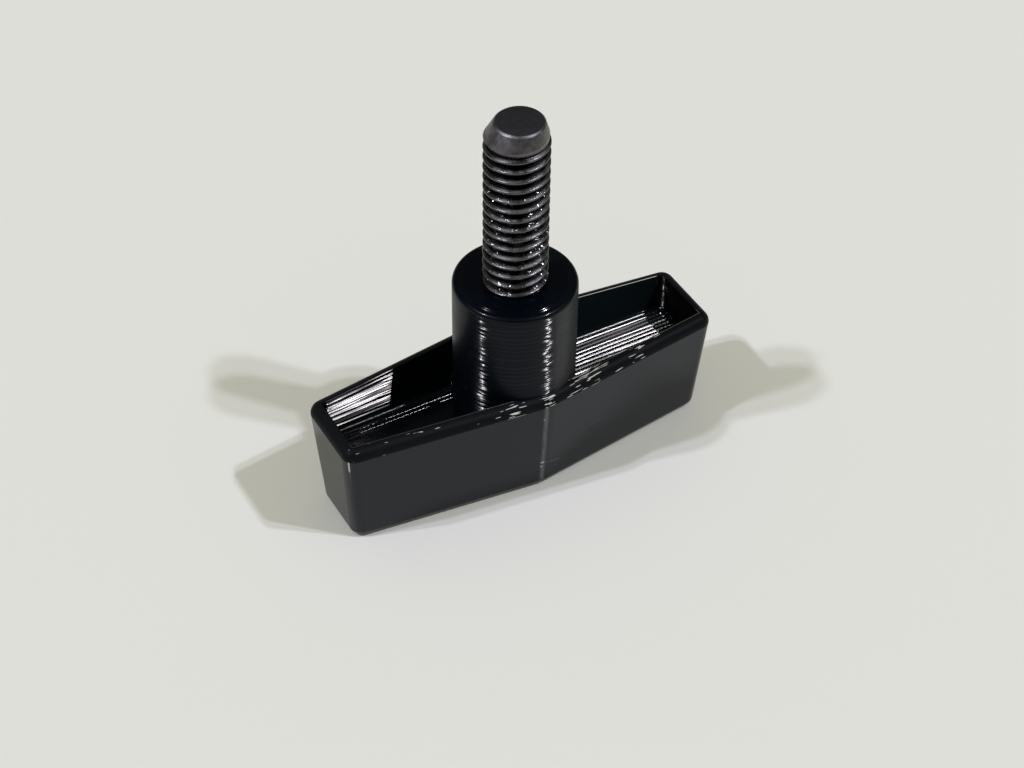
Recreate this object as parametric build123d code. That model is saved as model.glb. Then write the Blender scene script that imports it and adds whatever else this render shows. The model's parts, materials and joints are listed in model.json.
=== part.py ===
from build123d import *
import math
import os

# Handle: a drafted lozenge, widest in the middle, sizes taken at its open rim
handle_length = 51.8
middle_width = 17.4
end_width = 11.1
handle_height = 15.7
side_draft_degrees = 4.0
upright_corner_radius = 1.7
middle_corner_radius = 7.0
rim_rounding = 1.35
grip_rounding = 1.2
wall = 1.55

# Pockets: open towards the stud, one in each wing, with a straight flat floor
pocket_depth = 5.45
pocket_corner_radius = 1.0
pocket_floor_rounding = 0.8

# Hub: a round post that carries the stud
hub_diameter = 15.2
hub_height = 28.6
hub_edge_rounding = 0.6

# Stud: a hexagon bolt set in the handle, with its head buried in the solid grip
thread_diameter = 7.84
thread_length = 23.15
shank_diameter = 7.02
shank_length = 44.45
tip_flat_diameter = 6.1
tip_taper_length = 2.0
head_across_flats = 12.7
head_height = 5.16
head_cover = 2.05

# Cuts run this far past the faces that they open
overrun = 1.0

# Heights above the grip face
head_top = head_cover + head_height
tip_height = head_top + shank_length

# Inside of the rim, one wall in from the outside, and as wide at the end as the floor is all along
hub_radius = hub_diameter / 2
side_slope = (middle_width - end_width) / handle_length
side_wall = wall / math.cos(math.atan(side_slope))
pocket_length = handle_length / 2 - wall
half_inner_middle = middle_width / 2 - side_wall
half_floor = half_inner_middle - side_slope * pocket_length
pocket_floor = handle_height - pocket_depth


def upright_edges(body):
    """Edges that rise from the grip face to the rim, the middle ones first."""
    tall = body.edges().filter_by(lambda edge: edge.bounding_box().size.Z > handle_height / 2)
    return tall.sort_by(lambda edge: abs(edge.center().X))


def make_body():
    """Solid outside of the handle, drafted in to the grip face, with every edge rounded."""
    half_length = handle_length / 2
    half_end = end_width / 2
    right = [(half_length, -half_end), (half_length, half_end), (0, middle_width / 2)]
    left = [(-x, -y) for x, y in right]
    prism = extrude(make_face(Polyline(*right, *left, close=True)), amount=handle_height)
    sides = prism.faces().sort_by(Axis.Z)[1:-1]
    body = draft(sides, Plane(origin=(0, 0, handle_height)), -side_draft_degrees)
    body = fillet(upright_edges(body)[:2], middle_corner_radius)
    body = fillet(upright_edges(body)[-4:], upright_corner_radius)
    body = fillet(body.faces().sort_by(Axis.Z)[-1].edges(), rim_rounding)
    return fillet(body.faces().sort_by(Axis.Z)[0].edges(), grip_rounding)


def wing_plan(half_middle):
    """Plan of one pocket from the axis to its end wall, with rounded corners at that end."""
    near = [(0, -half_middle), (pocket_length, -half_floor)]
    far = [(pocket_length, half_floor), (0, half_middle)]
    plan = make_face(Polyline(*near, *far, close=True))
    return fillet(plan.vertices().sort_by(Axis.X)[2:], pocket_corner_radius)


def make_pocket():
    """Space in the right wing, straight along its floor and widening to the lozenge at its rim."""
    floor = Pos(0, 0, pocket_floor) * wing_plan(half_floor)
    rim = Pos(0, 0, handle_height) * wing_plan(half_inner_middle)
    space = loft([floor.face(), rim.face()], ruled=True)
    floor_edges = space.faces().sort_by(Axis.Z)[0].edges()
    space = fillet(floor_edges.sort_by(Axis.X)[1:], pocket_floor_rounding)
    return space + extrude(rim, amount=overrun)


def make_hub():
    """Round post from under the pocket floor to the clamping face."""
    post = extrude(Pos(0, 0, pocket_floor) * Circle(hub_radius), amount=hub_height - pocket_floor)
    return fillet(post.faces().sort_by(Axis.Z)[-1].edges(), hub_edge_rounding)


def make_stud():
    """Bolt turned about the axis, with a tapered tip and a hexagon head at its foot."""
    thread_radius = thread_diameter / 2
    shank_radius = shank_diameter / 2
    thread_start = tip_height - thread_length
    side = [
        (0, head_top),
        (shank_radius, head_top),
        (shank_radius, thread_start),
        (thread_radius, thread_start),
        (thread_radius, tip_height - tip_taper_length),
        (tip_flat_diameter / 2, tip_height),
        (0, tip_height),
    ]
    shank = revolve(make_face(Plane.XZ * Polyline(*side, close=True)), Axis.Z)
    hexagon = RegularPolygon(head_across_flats / 2, side_count=6, major_radius=False)
    head = extrude(Pos(0, 0, head_cover) * hexagon, amount=head_height)
    return head + shank


threaded_stud = make_stud()
right_pocket = make_pocket()
left_pocket = mirror(right_pocket, about=Plane.YZ)
handle = make_body() - right_pocket - left_pocket + make_hub() - threaded_stud

os.makedirs("parts", exist_ok=True)
export_step(handle, "parts/handle.step")
export_step(threaded_stud, "parts/threaded_stud.step")
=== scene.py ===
import json
import math
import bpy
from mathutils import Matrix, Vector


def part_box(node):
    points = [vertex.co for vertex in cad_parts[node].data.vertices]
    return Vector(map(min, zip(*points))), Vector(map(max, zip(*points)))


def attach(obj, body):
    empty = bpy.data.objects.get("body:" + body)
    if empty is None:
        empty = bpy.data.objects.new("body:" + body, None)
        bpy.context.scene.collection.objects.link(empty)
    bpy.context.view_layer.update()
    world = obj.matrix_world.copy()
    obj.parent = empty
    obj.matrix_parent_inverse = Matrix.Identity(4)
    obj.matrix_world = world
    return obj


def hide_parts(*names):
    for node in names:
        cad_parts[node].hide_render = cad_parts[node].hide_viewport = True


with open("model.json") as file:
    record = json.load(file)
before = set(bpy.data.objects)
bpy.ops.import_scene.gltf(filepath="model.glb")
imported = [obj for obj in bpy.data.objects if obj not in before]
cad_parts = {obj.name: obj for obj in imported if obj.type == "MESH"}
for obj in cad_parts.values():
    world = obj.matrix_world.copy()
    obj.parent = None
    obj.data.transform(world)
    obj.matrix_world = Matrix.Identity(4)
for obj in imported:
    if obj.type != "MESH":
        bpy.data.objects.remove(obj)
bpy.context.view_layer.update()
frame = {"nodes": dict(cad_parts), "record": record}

from types import SimpleNamespace

import bmesh
import bpy
from mathutils import Matrix, Vector

mm = 0.001
smoothAngle = math.radians(40)      # edges that turn more than this are sharp
scene = bpy.context.scene
mounts = {mount["name"]: mount for mount in frame["record"]["mounts"]}
hubTop = mounts["hub_face"]["pos_m"][2]
crestRadius = mounts["stud"]["dims"]["r_mm"] * mm
studLow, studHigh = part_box("threaded_stud")


# a value on its way through a material, so that shader maths reads as plain sums
class Wire:
    def __init__(self, finish, socket):
        self.finish = finish
        self.socket = socket

    def also(self, output):
        return Wire(self.finish, self.socket.node.outputs[output])

    def maths(self, operation, first, second=0.0):
        return self.finish.node("ShaderNodeMath", {"operation": operation}, {0: first, 1: second})

    def __add__(self, other):
        return self.maths("ADD", self, other)

    def __radd__(self, other):
        return self.maths("ADD", other, self)

    def __sub__(self, other):
        return self.maths("SUBTRACT", self, other)

    def __rsub__(self, other):
        return self.maths("SUBTRACT", other, self)

    def __mul__(self, other):
        return self.maths("MULTIPLY", self, other)

    def __pow__(self, other):
        return self.maths("POWER", self, other)

    def __abs__(self):
        return self.maths("ABSOLUTE", self)

    def larger(self, other):
        return self.maths("MAXIMUM", self, other)

    def smaller(self, other):
        return self.maths("MINIMUM", self, other)

    def fraction(self):
        return self.maths("FRACT", self)


# one material and its nodes, with places in millimetres
class Finish:
    unevenCuts = {"scales": (0.05, 1.7, 1.0), "detail": 1.0, "low": 0.35, "high": 0.65}

    def __init__(self, name):
        self.material = bpy.data.materials.new(name)
        self.material.use_nodes = True
        self.tree = self.material.node_tree
        self.shader = self.tree.nodes["Principled BSDF"]
        self.surface = Wire(self, self.shader.outputs[0])
        place = self.node("ShaderNodeTexCoord").also("Object")
        self.spot = self.node("ShaderNodeVectorMath", {"operation": "SCALE"},
                              {"Vector": place, "Scale": 1 / mm})
        self.x = self.node("ShaderNodeSeparateXYZ", {}, {"Vector": self.spot})
        self.y = self.x.also("Y")
        self.z = self.x.also("Z")

    def node(self, kind, settings={}, sockets={}):
        made = self.tree.nodes.new(kind)
        for name, value in settings.items():
            setattr(made, name, value)
        for name, value in sockets.items():
            self.feed(made.inputs[name], value)
        return Wire(self, made.outputs[0])

    def feed(self, socket, value):
        if isinstance(value, Wire):
            self.tree.links.new(value.socket, socket)
        else:
            socket.default_value = value

    def set(self, **sockets):
        for name, value in sockets.items():
            self.feed(self.shader.inputs[name.replace("_", " ")], value)

    # distance from the stud's axis
    def radius(self):
        return (self.x ** 2 + self.y ** 2) ** 0.5

    def ramp(self, value, low, high, start=0.0, end=1.0):
        return self.node("ShaderNodeMapRange", {"interpolation_type": "SMOOTHSTEP"},
                         {"Value": value, "From Min": low, "From Max": high, "To Min": start, "To Max": end})

    # one from low to high, falling off over soft on either side
    def window(self, value, low, high, soft):
        return self.ramp(value, low - soft, low) * self.ramp(value, high + soft, high)

    def noise(self, scales, detail=2.0, roughness=0.5, spot=None):
        stretched = self.node("ShaderNodeVectorMath", {"operation": "MULTIPLY"},
                              {0: spot or self.spot, 1: scales})
        return self.node("ShaderNodeTexNoise", {"noise_dimensions": "3D"},
                         {"Vector": stretched, "Scale": 1.0, "Detail": detail, "Roughness": roughness})

    # noise that is spread out between low and high
    def patches(self, scales, detail, low, high, start=0.0, end=1.0, spot=None):
        return self.ramp(self.noise(scales, detail, spot=spot), low, high, start, end)

    # the mix node's colours go in at 6 and 7 and come out at 2
    def blend(self, share, first, second):
        return self.node("ShaderNodeMix", {"data_type": "RGBA"}, {0: share, 6: first, 7: second}).also(2)

    def bump(self, height):
        return self.node("ShaderNodeBump", {}, {"Strength": 1.0, "Distance": mm, "Height": height})

    # height of tool lines side by side, each with a steep side and an easy one
    def toolLines(self, place, spacing, steep, steepShare):
        passed = (place * (1 / spacing)).fraction()
        easy = steep * (steepShare / (1 - steepShare))
        return (passed * easy).smaller((1 - passed) * steep) * spacing

    # height of cuts side by side, each a slope over its own share of the spacing and then a flat
    def cuts(self, place, spacing, steep, least, most):
        count = place * (1 / spacing)
        passed = count.fraction()
        cut = self.node("ShaderNodeCombineXYZ", {}, {"X": self.x, "Y": count - passed})
        share = self.patches(**self.unevenCuts, start=least, end=most, spot=cut)
        return (share - passed).larger(0.0) * steep * spacing

    # another surface laid over what is there so far
    def cover(self, share, sockets):
        over = self.node("ShaderNodeBsdfPrincipled", {}, sockets)
        self.surface = self.node("ShaderNodeMixShader", {}, {0: share, 1: self.surface, 2: over})
        self.feed(self.tree.nodes["Material Output"].inputs["Surface"], self.surface)


# black plastic of the handle
handleLook = {
    "innerHalfMiddle": 7.14,        # inside of the wall at the hub, as if it ran through
    "innerSlope": 0.1216,
    "innerLength": 24.35,
    "fades": {                      # where an area begins, and where it is complete
        "pocketLevel": (9.95, 10.15),
        "pocketWall": (0.06, 0.0),
        "floorLevel": (10.75, 10.45),
        "hubRadius": (7.85, 7.65),
        "hubSide": (0.5, 0.6),      # below the hub's face
        # where the painted light on the hub's right side begins
        "hubRight": (0.4, 2.0),
        "rimLevel": (14.25, 14.45),
        "leftWing": (-4.0, -5.0),
        "rightWing": (4.0, 5.0),
        "farHalf": (0.0, 1.0),
        "nearFaces": (-4.5, -5.0),
        "nearRim": (-3.0, -4.0),
        "plainWall": (23.5, 23.3),  # the far right wall, up to its corner
        "cutWall": (-23.9, -23.6),  # the far left wall, where the cuts stop at a leaning line
        "cutsEnd": (-18.0, -17.9),
        "smoothFloor": (2.3, 2.1),
        "floorEnd": (21.3, 21.6),
        "edgeLevel": (15.6, 15.65),
        "edgeWidth": (0.14, 0.1),
        "edgeEnd": (-0.7, -1.0),
    },
    "wander": {"scales": (0.02, 0.02, 0.9), "detail": 2.0},
    "wanderReach": 0.15,
    "wobble": {"scales": (0.4, 0.4, 0.5), "detail": 1.0},
    "wobbleReach": 0.05,
    "hubCuts": {"spacing": 0.66, "steep": 1.38, "least": 0.5, "most": 0.9},
    "lipLines": {"spacing": 0.34, "steep": 0.72, "steepShare": 0.5},
    "lipBand": (6.35, 6.95, 0.02),
    "wallLines": {"spacing": 0.58, "steepShare": 0.42},
    "wallCuts": {"spacing": 0.58, "least": 0.4, "most": 0.95},
    "cornerLines": {"spacing": 0.2, "steepShare": 0.42},
    "wallSteep": 1.45,              # eases towards the hub, where the wall itself leans more
    "wallEase": 0.051,
    "wallFoot": (10.65, 11.1, 0.4, 1.0),
    "cutsLean": 0.255,
    "floorCuts": {"spacing": 0.62, "steep": 0.74, "least": 0.4, "most": 0.9},
    "burrs": {"spacing": 0.5, "steep": 0.747, "steepShare": 0.75},
    "burrDirection": (-0.874, -0.486),
    "burrBand": (0.08, 0.17, 0.02),             # share of a row that carries burrs
    "endBurrBand": (0.06, 0.4, 0.03),
    "burrGaps": {"scales": (0.25, 1.6, 0.1), "detail": 2.0, "low": 0.4, "high": 0.42},
    "streaks": {"scales": (0.03, 1.1, 1.1), "detail": 2.0, "low": 0.4, "high": 0.55, "start": 0.86},
    "grain": {"scales": (6.0, 6.0, 6.0), "detail": 3.0},
    "grainHeight": 0.006,
    # painted highlight along the ridge between the near faces
    "ridge": {"place": -0.25, "width": (0.5, 0.0)},
    "ridgeWear": {"scales": (1.0, 1.0, 0.3), "detail": 2.0, "low": 0.3, "high": 0.6, "start": 0.5},
    "ridgeChips": {"scales": (0.8, 0.8, 2.2), "detail": 1.0, "low": 0.66, "high": 0.7},
    "scratchWidth": (0.1, 0.03),
    "longScratch": {"top": (8.4, 7.1), "bend": 0.035, "reach": (5.5, 8.4, 0.4), "wear": 0.25},
    "shortScratch": {"slope": 0.2, "level": 4.08, "reach": (0.2, 2.2, 0.3), "wear": 0.6},
    # painted highlight and painted glints on the near left corner
    "corner": {"place": 20.35, "width": (0.25, 0.0), "reach": (-23.0, -23.5)},
    "cornerWear": (7.0, 14.0, 0.0, 0.6),
    "cornerChips": (12.4, 12.9),
    # painted glints in short dashes along the near rim
    "nicks": {"scales": (0.6, 6.5, 6.5), "detail": 0.0},
    "nickEdge": (0.81, 0.83),
    "moreNicks": [((3.2, 7.5, 0.8), 0.18), ((8.0, 15.5, 1.0), 0.09),
                  ((-0.3, 0.9, 0.4), 0.19), ((-5.0, -2.8, 0.6), 0.12)],
    # painted highlights on the rim's inner edge, far right and near side
    "farEdgeLight": 0.88,
    "nearEdgeLight": (13.0, 16.0, 0.06, 0.18),
    "outside": (0.0022, 0.0022, 0.0026, 1.0),
    "inside": (0.0004, 0.0012, 0.002, 1.0),
    # painted light: a lighter colour on the smooth far right wall, for the dim light it reflects
    "wallShade": (0.0055, 0.0094, 0.0112, 1.0),
    # lighter colour for wear on the scratches, and for painted highlights on the ridge and the near left
    # corner
    "worn": (0.09, 0.092, 0.096, 1.0),
    # painted glints and painted highlights: light spots on the ridge, the near left corner and the rim
    "rubbedLight": (0.6, 0.6, 0.58, 1.0),
    "rim": (0.006, 0.0064, 0.007, 1.0),
    "hubFront": (0.0004, 0.0016, 0.004, 1.0),
    # painted light on the hub's right side
    "hubRight": (0.034, 0.034, 0.037, 1.0),
    "sheen": (0.76, 0.86, 1.0, 1.0),
    "cutSheen": (1.0, 0.95, 0.82, 1.0),
    "gloss": {"faces": 0.31, "hub": 0.17, "rim": 0.06},
    "rough": {"outside": 0.22, "worn": 0.2, "inside": 0.18, "hubLines": -0.07, "hub": 0.4, "rim": 0.45},
    "roughCloud": {"scales": (0.25, 0.25, 0.4), "detail": 3.0},
    "roughReach": 0.05,
    "hubDull": {"face": 0.55, "side": 0.3},     # the side is duller than the face by this much
}


# distances on the handle, and areas that run from zero to one
def findAreas(paint):
    look = handleLook
    fades = look["fades"]
    area = SimpleNamespace()
    area.across = abs(paint.y) + abs(paint.x) * look["innerSlope"] - look["innerHalfMiddle"]
    area.along = abs(paint.x) - look["innerLength"]
    area.inset = area.across.larger(area.along)
    area.radius = paint.radius()
    above = paint.ramp(paint.z, *fades["pocketLevel"])
    area.pocket = paint.ramp(area.inset, *fades["pocketWall"]) * above
    area.floor = paint.ramp(paint.z, *fades["floorLevel"])
    area.hub = paint.ramp(area.radius, *fades["hubRadius"]) * above
    area.hubSide = paint.ramp(hubTop / mm - paint.z, *fades["hubSide"])
    area.cut = area.pocket.larger(area.hub)
    area.rim = paint.ramp(paint.z, *fades["rimLevel"]) * (1 - area.cut)
    area.nearRim = paint.ramp(paint.y, *fades["nearRim"])
    area.near = paint.ramp(paint.y, *fades["nearFaces"]) * (1 - area.rim) * (1 - area.cut)
    area.left = paint.ramp(paint.x, *fades["leftWing"])
    far = paint.ramp(paint.y, *fades["farHalf"])
    area.farLeft = area.left * far
    area.farRight = paint.ramp(paint.x, *fades["rightWing"]) * far
    area.plainWall = area.farRight * paint.ramp(paint.x, *fades["plainWall"])
    return area


# height of the tool lines round the hub, along the pocket walls and along the pocket floors
def makeLines(paint, area):
    look = handleLook
    fades = look["fades"]
    wander = paint.noise(**look["wander"]) * look["wanderReach"]
    level = paint.z + wander
    turned = level + paint.noise(**look["wobble"]) * look["wobbleReach"]
    hubLines = paint.cuts(turned, **look["hubCuts"]) * area.hub * area.hubSide
    lip = (1 - area.hubSide) * area.hub * paint.window(area.radius, *look["lipBand"])
    lipLines = lip * paint.toolLines(area.radius, **look["lipLines"])

    # uneven cuts on the far left wall, fine lines in the far right corner and coarse ones elsewhere
    steep = (area.along * look["wallEase"] + look["wallSteep"]) * paint.ramp(paint.z, *look["wallFoot"])
    cutWall = area.farLeft * paint.ramp(paint.x, *fades["cutWall"])
    ended = area.farLeft * paint.ramp(paint.x - paint.z * look["cutsLean"], *fades["cutsEnd"])
    coarse = paint.toolLines(level, steep=steep, **look["wallLines"]) * (1 - area.farRight - cutWall)
    uneven = paint.cuts(level, steep=steep, **look["wallCuts"]) * (cutWall - ended)
    fine = paint.toolLines(level, steep=steep, **look["cornerLines"]) * (area.farRight - area.plainWall)
    wallLines = (coarse + uneven + fine) * (1 - area.floor)

    # rows of cuts with burrs on the right floor, and only a few burrs on the left one, near its far wall
    row = wander - paint.y
    passed = (row * (1 / look["floorCuts"]["spacing"])).fraction()
    burred = paint.window(passed, *look["burrBand"]) * paint.patches(**look["burrGaps"])
    burredEnd = paint.window(passed, *look["endBurrBand"]) * paint.ramp(paint.x, *fades["floorEnd"])
    towardsX, towardsY = look["burrDirection"]
    burrs = paint.toolLines(paint.x * towardsX + paint.y * towardsY, **look["burrs"])
    rows = paint.cuts(row, **look["floorCuts"]) * (1 - area.left)
    smooth = area.left * paint.ramp(paint.y, *fades["smoothFloor"])
    floorLines = (rows + (burrs - rows) * burred.larger(burredEnd)) * area.floor * (1 - smooth)
    besideHub = area.pocket - area.pocket * area.hub
    return hubLines + lipLines + besideHub * (wallLines + floorLines) * paint.patches(**look["streaks"])


# wear along two scratches on the near faces, and painted highlights and painted glints on the ridge between
# the near faces and on the near left corner
def makeWearAndPaintedLight(paint, area):
    look = handleLook
    ridge = paint.ramp(abs(paint.x - look["ridge"]["place"]), *look["ridge"]["width"]) * area.near
    long = look["longScratch"]
    topX, topZ = long["top"]
    bent = abs((paint.x - topX) ** 2 * long["bend"] + paint.z - topZ)
    longLine = paint.ramp(bent, *look["scratchWidth"]) * paint.window(paint.x, *long["reach"])
    short = look["shortScratch"]
    straight = abs(paint.x * short["slope"] + paint.z - short["level"])
    shortLine = paint.ramp(straight, *look["scratchWidth"]) * paint.window(paint.x, *short["reach"])
    scratches = (longLine * long["wear"] + shortLine * short["wear"]) * area.near
    corner = paint.ramp(abs(paint.y - paint.x - look["corner"]["place"]), *look["corner"]["width"])
    corner = corner * paint.ramp(paint.x, *look["corner"]["reach"]) * area.near
    worn = (ridge * paint.patches(**look["ridgeWear"])).larger(scratches)
    worn = worn.larger(corner * paint.ramp(paint.z, *look["cornerWear"]))
    # painted glints: light spots on the ridge and high on the near left corner
    paintedGlints = ridge * paint.patches(**look["ridgeChips"])
    return worn, paintedGlints.larger(corner * paint.ramp(paint.z, *look["cornerChips"]))


# painted glints in short dashes along the near side of the rim, most of them by the middle, and painted
# highlights on its inner edge
def makeRimLight(paint, area):
    look = handleLook
    fades = look["fades"]
    alongRim = paint.node("ShaderNodeCombineXYZ", {}, {"X": paint.x, "Y": area.across, "Z": paint.z})
    busy = sum((paint.window(paint.x, *reach) * more for reach, more in look["moreNicks"]), 0.0)
    nicks = paint.ramp(paint.noise(spot=alongRim, **look["nicks"]) + busy, *look["nickEdge"]) * area.nearRim
    edge = paint.ramp(paint.z, *fades["edgeLevel"]) * paint.ramp(area.inset, *fades["edgeWidth"])
    farLight = area.farRight * paint.ramp(area.along, *fades["edgeEnd"]) * look["farEdgeLight"]
    nearLight = area.nearRim * paint.ramp(paint.x, *look["nearEdgeLight"])
    return nicks.larger(edge * (farLight + nearLight))


def makePlastic():
    look = handleLook
    gloss = look["gloss"]
    rough = look["rough"]
    paint = Finish("handlePlastic")
    area = findAreas(paint)
    grain = paint.noise(**look["grain"]) - 0.5
    normal = paint.bump(makeLines(paint, area) + (1 - area.cut) * grain * look["grainHeight"])
    cloud = (paint.noise(**look["roughCloud"]) - 0.5) * look["roughReach"]

    # satin outside
    worn, paintedGlints = makeWearAndPaintedLight(paint, area)
    # scratches worn lighter; the ridge and the near left corner carry painted highlights and painted glints
    colour = paint.blend(worn, look["outside"], look["worn"])
    paint.set(Base_Color=paint.blend(paintedGlints, colour, look["rubbedLight"]),
              Roughness=rough["outside"] + cloud + worn * rough["worn"],
              Specular_IOR_Level=gloss["faces"], Specular_Tint=look["sheen"], Normal=normal)

    # glossier pockets and hub, where the tool lines glint, with painted light on the smooth far right wall
    paint.cover(area.cut, {"Base Color": paint.blend(area.plainWall, look["inside"], look["wallShade"]),
                           "Roughness": rough["inside"] + area.hub * rough["hubLines"] + cloud,
                           "Specular IOR Level": gloss["faces"], "Specular Tint": look["cutSheen"],
                           "Normal": normal})

    # a dull film on the hub that lets some of the glint through, with painted light that makes it lighter to
    # the right
    dull = area.hub * (area.hubSide * look["hubDull"]["side"] + look["hubDull"]["face"])
    hubPaintedLight = paint.ramp(paint.x, *look["fades"]["hubRight"]) * area.hubSide
    paint.cover(dull, {"Base Color": paint.blend(hubPaintedLight, look["hubFront"], look["hubRight"]),
                       "Roughness": rough["hub"], "Specular IOR Level": gloss["hub"],
                       "Specular Tint": look["sheen"]})

    # dull rim, with painted glints and painted highlights in a light colour
    rimColour = paint.blend(makeRimLight(paint, area), look["rim"], look["rubbedLight"])
    paint.cover(area.rim, {"Base Color": rimColour, "Roughness": rough["rim"], "Normal": normal,
                           "Specular IOR Level": gloss["rim"], "Specular Tint": look["sheen"]})
    return paint.material


# threaded stud, tapered at its tip, on a hexagon head that the handle hides
studSizes = {
    "pitch": 25.4 / 18 * mm,        # eighteen turns to the inch
    "threadDepth": 0.84 * mm,
    "crestFlat": 0.2 * mm,
    "rootFlat": 0.36 * mm,
    "rounding": 0.07 * mm,
    "startTurn": 0.54,              # share of a turn, sets where the crests fall
    "steps": 96,                    # in each turn
    "flankCuts": 6,
    "weld": 0.01 * mm,
    "tipFlat": 2.95 * mm,
    "tipTaper": 2.0 * mm,
    "tipShift": Vector((0.4, 0.1)) * mm,        # the taper was cut a little off the axis
    "tipEdge": 0.2 * mm,
    "tipSteps": 4,
    "runOutEnd": 0.6 * mm,          # above the foot of the taper
    "runOutLength": 2.2 * mm,
    "intoHub": 0.5 * mm,            # how far the thread goes on under the hub's face
    "shankTaper": 0.4 * mm,
    "shankRadius": 3.51 * mm,
    "headHeight": 5.16 * mm,
    "headSides": 6,
}


def only(kind, items):
    return [item for item in items if isinstance(item, kind)]


def everything(body):
    return body.verts[:] + body.edges[:] + body.faces[:]


def finishPiece(body, name):
    mesh = bpy.data.meshes.new(name)
    for face in body.faces:
        face.smooth = True
    body.to_mesh(mesh)
    body.free()
    mesh.set_sharp_from_angle(angle=smoothAngle)
    piece = bpy.data.objects.new(name, mesh)
    scene.collection.objects.link(piece)
    return piece


# one pitch of the thread's side, wound up the stud as a right-hand helix
def windThread(body, bottom):
    size = studSizes
    pitch = size["pitch"]
    root = crestRadius - size["threadDepth"]
    rootHalf = size["rootFlat"] / 2
    crestHalf = size["crestFlat"] / 2
    side = [(root, 0), (root, rootHalf), (crestRadius, pitch / 2 - crestHalf),
            (crestRadius, pitch / 2 + crestHalf), (root, pitch - rootHalf), (root, pitch)]
    start = bottom - pitch * (1 + size["startTurn"])
    points = [body.verts.new((radius, 0, start + rise)) for radius, rise in side]
    for lower, upper in zip(points, points[1:]):
        body.edges.new((lower, upper))
    bmesh.ops.bevel(body, geom=points[1:-1], offset=size["rounding"], affect="VERTICES", segments=2,
                    profile=0.5, material=-1, clamp_overlap=True)
    flanks = [edge for edge in body.edges if edge.calc_length() > size["threadDepth"] / 2]
    bmesh.ops.subdivide_edges(body, edges=flanks, cuts=size["flankCuts"])
    turns = math.ceil((studHigh.z - start) / pitch) + 1
    bmesh.ops.spin(body, geom=body.verts[:] + body.edges[:], cent=(0, 0, 0), axis=(0, 0, 1),
                   dvec=(0, 0, pitch / size["steps"]), angle=math.tau, steps=size["steps"])
    firstTurn = everything(body)
    for turn in range(1, turns):
        copied = bmesh.ops.duplicate(body, geom=firstTurn)["geom"]
        bmesh.ops.translate(body, verts=only(bmesh.types.BMVert, copied), vec=(0, 0, pitch * turn))
    bmesh.ops.remove_doubles(body, verts=body.verts[:], dist=size["weld"])


# the thread runs out in a plain taper at the tip
def taperTip(body):
    size = studSizes
    taperStart = studHigh.z - size["tipTaper"]
    for vert in body.verts:
        rise = max((vert.co.z - taperStart) / size["tipTaper"], 0)
        centre = size["tipShift"] * rise
        out = vert.co.xy - centre
        most = crestRadius + (size["tipFlat"] - crestRadius) * rise
        depth = min(max((taperStart + size["runOutEnd"] - vert.co.z) / size["runOutLength"], 0), 1)
        least = most - size["threadDepth"] * depth
        vert.co.xy = centre + out * min(max(out.length, least), most) / out.length


# cut square at the tip and just under the hub's face
def cutEnds(body, bottom):
    tip = studHigh.z - studSizes["tipEdge"]
    for height, isTip in ((tip, True), (bottom, False)):
        bmesh.ops.bisect_plane(body, geom=everything(body), plane_co=(0, 0, height), plane_no=(0, 0, 1),
                               clear_outer=isTip, clear_inner=not isTip)


def closeTip(body):
    size = studSizes
    tipEdge = size["tipEdge"]
    taperStart = studHigh.z - size["tipTaper"]
    loop = [edge for edge in body.edges if edge.is_boundary and edge.verts[0].co.z > taperStart]
    for step in range(1, size["tipSteps"] + 1):
        turn = math.pi / 2 * step / size["tipSteps"]
        radius = size["tipFlat"] - tipEdge * (1 - math.cos(turn))
        grown = bmesh.ops.extrude_edge_only(body, edges=loop)["geom"]
        for vert in only(bmesh.types.BMVert, grown):
            out = vert.co.xy - size["tipShift"]
            vert.co.xy = size["tipShift"] + out.normalized() * radius
            vert.co.z = studHigh.z - tipEdge * (1 - math.sin(turn))
        loop = only(bmesh.types.BMEdge, grown)
    bmesh.ops.contextual_create(body, geom=loop)


# plain shank and hexagon head inside the handle
def addHead(body, bottom):
    size = studSizes
    loop = [edge for edge in body.edges if edge.is_boundary]
    for height in (bottom - size["shankTaper"], studLow.z + size["headHeight"]):
        grown = bmesh.ops.extrude_edge_only(body, edges=loop)["geom"]
        for vert in only(bmesh.types.BMVert, grown):
            vert.co.xy *= size["shankRadius"] / vert.co.xy.length
            vert.co.z = height
        loop = only(bmesh.types.BMEdge, grown)
    middle = Matrix.Translation((0, 0, studLow.z + size["headHeight"] / 2))
    head = bmesh.ops.create_cone(body, cap_ends=True, segments=size["headSides"], radius1=studHigh.x,
                                 radius2=studHigh.x, depth=size["headHeight"],
                                 matrix=middle @ Matrix.Rotation(math.pi / 2, 4, "Z"))
    faces = [face for vert in head["verts"] for face in vert.link_faces]
    lid = max(faces, key=lambda face: face.calc_center_median().z)
    rim = lid.edges[:]
    bmesh.ops.delete(body, geom=[lid], context="FACES_ONLY")
    bmesh.ops.bridge_loops(body, edges=rim + loop)


def makeStud():
    bottom = hubTop - studSizes["intoHub"]
    body = bmesh.new()
    windThread(body, bottom)
    taperTip(body)
    cutEnds(body, bottom)
    closeTip(body)
    addHead(body, bottom)
    bmesh.ops.recalc_face_normals(body, faces=body.faces[:])
    return finishPiece(body, "threadedStud")


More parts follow.
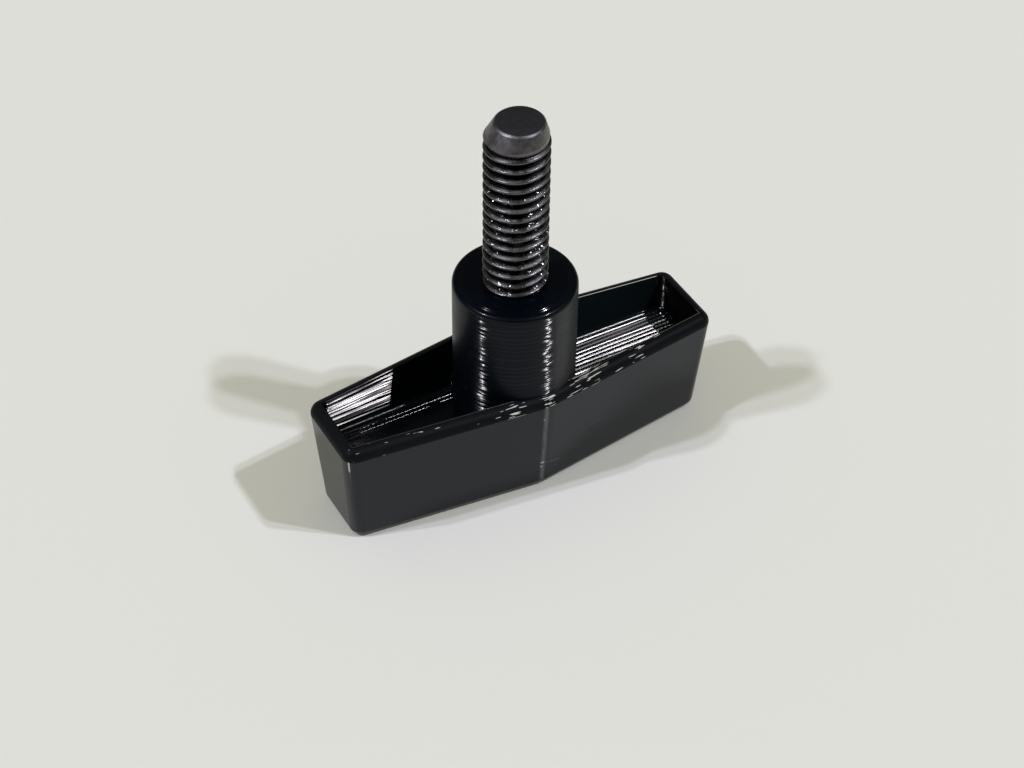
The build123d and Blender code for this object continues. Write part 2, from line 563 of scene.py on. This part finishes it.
# blackened steel, rubbed along the crests and darker in the roots, with drops of oil; the dark roots are
# partly black oxide and partly painted shade between the turns
steelLook = {
    # black oxide in the roots, made darker as painted shade between the turns
    "root": (0.012, 0.012, 0.013, 1.0),
    "crest": (0.145, 0.143, 0.135, 1.0),
    "tip": (0.152, 0.152, 0.15, 1.0),
    "taper": (0.205, 0.192, 0.182, 1.0),
    "taperDark": (0.155, 0.148, 0.142, 1.0),
    "oil": (0.2, 0.2, 0.19, 1.0),
    "crestFade": (0.42, 0.22),      # below the crests
    "taperFade": 0.3,               # above the foot of the taper
    "tipFade": (0.2, 0.06),         # below the tip
    "cloud": {"scales": (1.2, 1.2, 1.2), "detail": 4.0, "roughness": 0.6},
    "crestCloud": (0.2, 0.6, 0.7, 1.0),
    "taperCloud": (0.4, 0.6),
    "roughCloud": (0.3, 0.7, 0.38, 0.46),
    "polish": {"scales": (0.8, 0.8, 0.8), "detail": 2.0, "low": 0.4, "high": 0.55, "end": 0.15},
    "grain": {"scales": (9.0, 9.0, 9.0), "detail": 3.0},
    "grainHeight": 0.02,
    "drops": {"scales": (1.1, 1.1, 1.1), "detail": 1.0},
    "dropsFade": (4.0, 9.0),        # below the tip
    "footDrops": (1.6, 0.8, 0.0, 0.2),          # more of them just above the hub
    "dropEdge": (0.5, 0.72),
    "dropHeight": 0.09,
    "oilShare": (0.0, 0.15, 0.0, 0.4),
    "oilRough": 0.15,
}


def makeSteel():
    look = steelLook
    paint = Finish("blackenedSteel")
    belowTip = studHigh.z / mm - paint.z
    cloud = paint.noise(**look["cloud"])
    # crests rubbed lighter, roots darker: the dark is partly black oxide and partly painted shade
    worn = paint.ramp(crestRadius / mm - paint.radius(), *look["crestFade"])
    worn = worn * paint.ramp(cloud, *look["crestCloud"])
    taperFoot = studSizes["tipTaper"] / mm
    taper = paint.ramp(belowTip, taperFoot, taperFoot - look["taperFade"])
    taperColour = paint.blend(paint.ramp(cloud, *look["taperCloud"]), look["taperDark"], look["taper"])
    colour = paint.blend(taper, paint.blend(worn, look["root"], look["crest"]), taperColour)
    colour = paint.blend(paint.ramp(belowTip, *look["tipFade"]), colour, look["tip"])

    # some turns are polished, and drops of oil on the lower ones sparkle
    polished = paint.patches(**look["polish"]) * (1 - taper)
    grain = paint.noise(**look["grain"]) - 0.5
    paint.set(Base_Color=colour, Metallic=1.0, Normal=paint.bump(grain * look["grainHeight"]),
              Roughness=paint.ramp(cloud, *look["roughCloud"]) - polished)
    wet = paint.ramp(belowTip, *look["dropsFade"]) * paint.noise(**look["drops"])
    wet = wet + paint.ramp(paint.z - hubTop / mm, *look["footDrops"])
    drops = paint.ramp(wet, *look["dropEdge"])
    paint.cover(paint.ramp(drops, *look["oilShare"]),
                {"Base Color": look["oil"], "Metallic": 1.0, "Roughness": look["oilRough"],
                 "Normal": paint.bump(drops * look["dropHeight"])})
    return paint.material


# pale floor, two pairs of lamps and the room's soft light
stageLook = {
    "floorReach": 4.0,
    "floorColour": (0.745, 0.738, 0.701, 1.0),
    "floorRough": 0.7,
    "lamps": {                      # in pairs, so that each shadow has two steps
        "rightLamp": (0.429, -0.417, 0.801),
        "rightLampNear": (0.397, -0.468, 0.79),
        "leftLamp": (-0.616, 0.07, 0.785),
        "leftLampFar": (-0.602, 0.126, 0.789),
    },
    "lampStrength": 0.84,
    "lampColour": (0.828, 0.836, 1.0),
    "lampSpread": 1.8,
    "fillStrength": 0.813,
    "fillColour": (0.91, 0.911, 0.336),
    "fillSpread": 180.0,
    "roomColour": (1.0, 1.0, 1.0, 1.0),
    "roomLight": 0.07,
}


def addSun(name, strength, colour, spread):
    lamp = bpy.data.lights.new(name, "SUN")
    lamp.energy = strength
    lamp.color = colour
    lamp.angle = math.radians(spread)
    light = bpy.data.objects.new(name, lamp)
    scene.collection.objects.link(light)
    return light


def makeStage():
    look = stageLook
    body = bmesh.new()
    bmesh.ops.create_grid(body, x_segments=1, y_segments=1, size=look["floorReach"])
    floor = finishPiece(body, "floor")
    paint = Finish("paleFloor")
    paint.set(Base_Color=look["floorColour"], Roughness=look["floorRough"])
    floor.data.materials.append(paint.material)
    for name, towards in look["lamps"].items():
        light = addSun(name, look["lampStrength"], look["lampColour"], look["lampSpread"])
        light.rotation_euler = Vector(towards).to_track_quat("Z", "Y").to_euler()

    # the walls of the room fill the shadows, but are too dull to be seen in the plastic
    fill = addSun("fill", look["fillStrength"], look["fillColour"], look["fillSpread"])
    fill.visible_glossy = False
    scene.world = bpy.data.worlds.new("room")
    scene.world.use_nodes = True
    air = scene.world.node_tree.nodes["Background"]
    air.inputs["Color"].default_value = look["roomColour"]
    air.inputs["Strength"].default_value = look["roomLight"]


# the photograph's view
cameraSetup = {
    "place": Vector((-100.46, -172.31, 201.80)) * mm,
    "azimuth": 30.174,
    "elevation": 43.708,
    "roll": 0.681,
    "lens": 77.88,
    "sensor": 36.0,
    "clipStart": 0.01,
}


def makeCamera():
    setup = cameraSetup
    camera = bpy.data.cameras.new("view")
    camera.lens = setup["lens"]
    camera.sensor_width = setup["sensor"]
    camera.clip_start = setup["clipStart"]
    turn = Matrix.Rotation(math.radians(-setup["azimuth"]), 4, "Z")
    tilt = Matrix.Rotation(math.radians(90 - setup["elevation"]), 4, "X")
    roll = Matrix.Rotation(math.radians(setup["roll"]), 4, "Z")
    holder = bpy.data.objects.new("view", camera)
    holder.matrix_world = Matrix.Translation(setup["place"]) @ turn @ tilt @ roll
    scene.collection.objects.link(holder)
    scene.camera = holder


handle = frame["nodes"]["handle"]
handle.material_slots[0].material = makePlastic()
print("handle dressed")

stud = makeStud()
stud.data.materials.append(makeSteel())
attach(stud, "root")
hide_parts("threaded_stud")
print("stud made", len(stud.data.polygons), "faces")

makeStage()
makeCamera()
scene.view_settings.view_transform = "Standard"
print("stage set")
